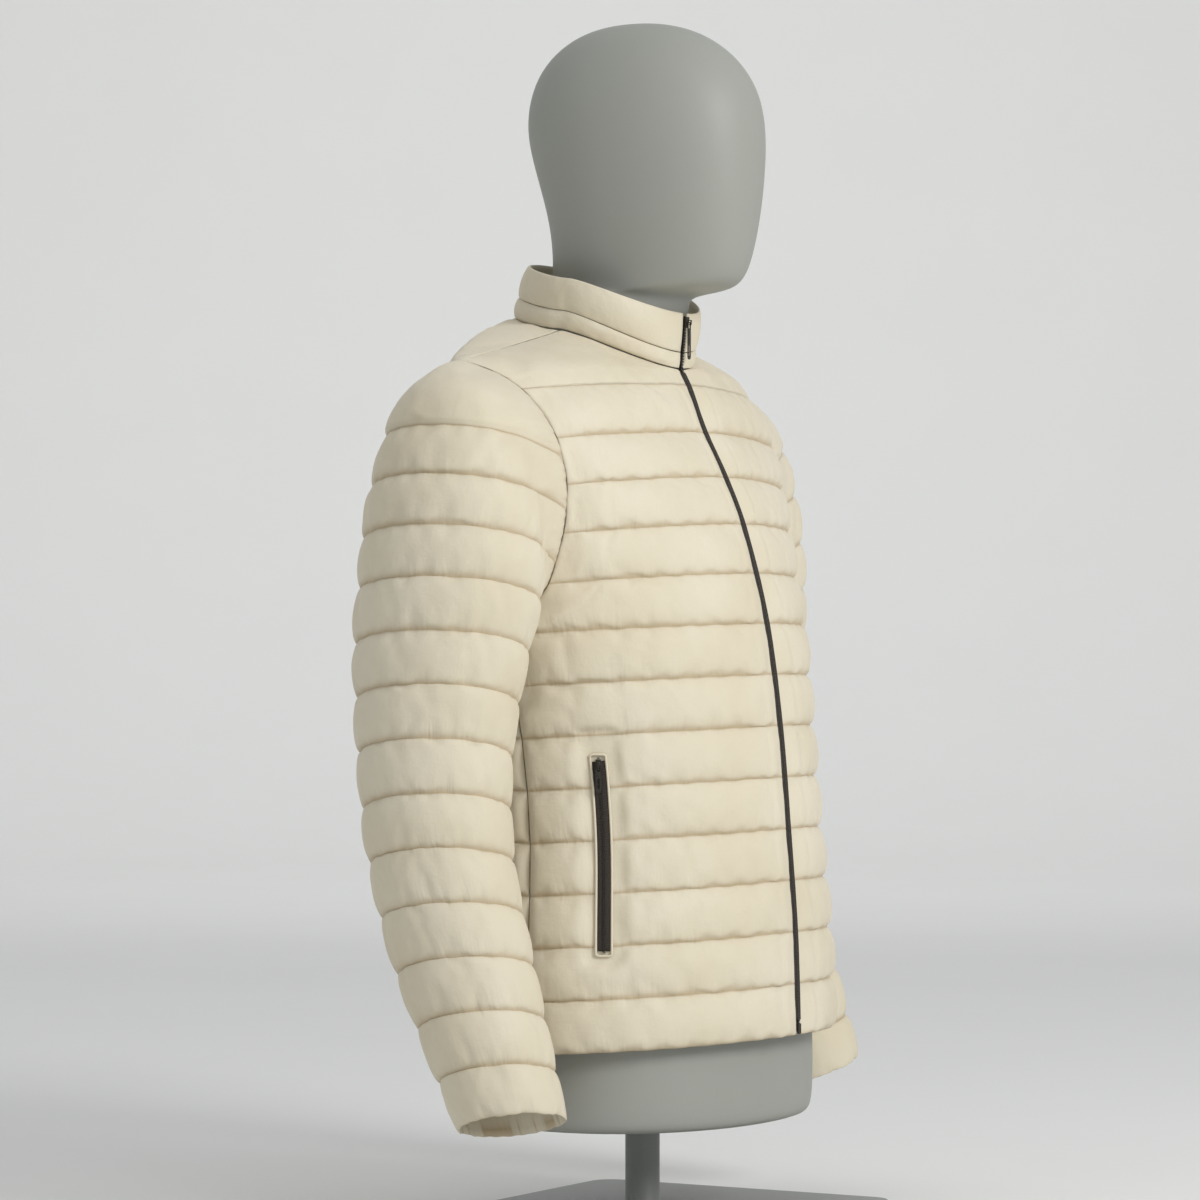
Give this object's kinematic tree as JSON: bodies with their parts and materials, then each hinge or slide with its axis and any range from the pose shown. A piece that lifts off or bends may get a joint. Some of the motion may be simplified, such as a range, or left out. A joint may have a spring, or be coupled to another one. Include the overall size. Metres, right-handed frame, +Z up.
{
  "type": "quilted puffer jacket on limbless display form with stand",
  "caption": "Zip-front puffer jacket with stand collar and cross quilting, worn by an egg-headed limbless display form on a pole and plate.",
  "frame": {"origin": "underside of the base plate, on the axis of the pole", "axes": "+Z up, -Y to the front of the jacket, +X to the wearer's left"},
  "size_m": [0.6878, 0.3323, 1.075],
  "materials": {
    "quilted_cloth": "matt cream woven nylon over wadding, stitched in horizontal channels",
    "zip_tape": "dark brown moulded teeth on woven tape",
    "zip_metal": "dark painted cast zip slider, pull and stop",
    "form_shell": "smooth matt grey sprayed glass fibre shell",
    "stand_paint": "grey powder coat on steel"
  },
  "bodies": {
    "jacket_and_form": {"front_right": "quilted_cloth", "front_left": "quilted_cloth", "back": "quilted_cloth", "sleeve_right": "quilted_cloth", "sleeve_left": "quilted_cloth", "collar_lower": "quilted_cloth", "collar_upper": "quilted_cloth", "front_zip_chain": "zip_tape", "front_zip_stop": "zip_metal", "front_zip_slider": "zip_metal", "pocket_welt_right": "quilted_cloth", "pocket_zip_right": "zip_tape", "pocket_right_slider": "zip_metal", "pocket_welt_left": "quilted_cloth", "pocket_zip_left": "zip_tape", "pocket_left_slider": "zip_metal", "display_form": "form_shell", "form_pole": "stand_paint", "base_plate": "stand_paint"},
    "front_zip_pull": {"front_zip_pull": "zip_metal"},
    "pocket_right_pull": {"pocket_right_pull": "zip_metal"},
    "pocket_left_pull": {"pocket_left_pull": "zip_metal"}
  },
  "joints": [
    {"name": "front_pull_swing", "type": "hinge", "parent": "jacket_and_form", "child": "front_zip_pull", "pos_m": [0, -0.04815, 0.80475], "axis": [-1, 0.0054, 0], "range_deg": [0, 105]},
    {"name": "pocket_right_pull_swing", "type": "hinge", "parent": "jacket_and_form", "child": "pocket_right_pull", "pos_m": [-0.17122, -0.05492, 0.41398], "axis": [-0.4576, 0.8891, 0], "range_deg": [0, 105]},
    {"name": "pocket_left_pull_swing", "type": "hinge", "parent": "jacket_and_form", "child": "pocket_left_pull", "pos_m": [0.17122, -0.05492, 0.41398], "axis": [-0.4673, -0.8841, 0], "range_deg": [0, 105]}
  ]
}
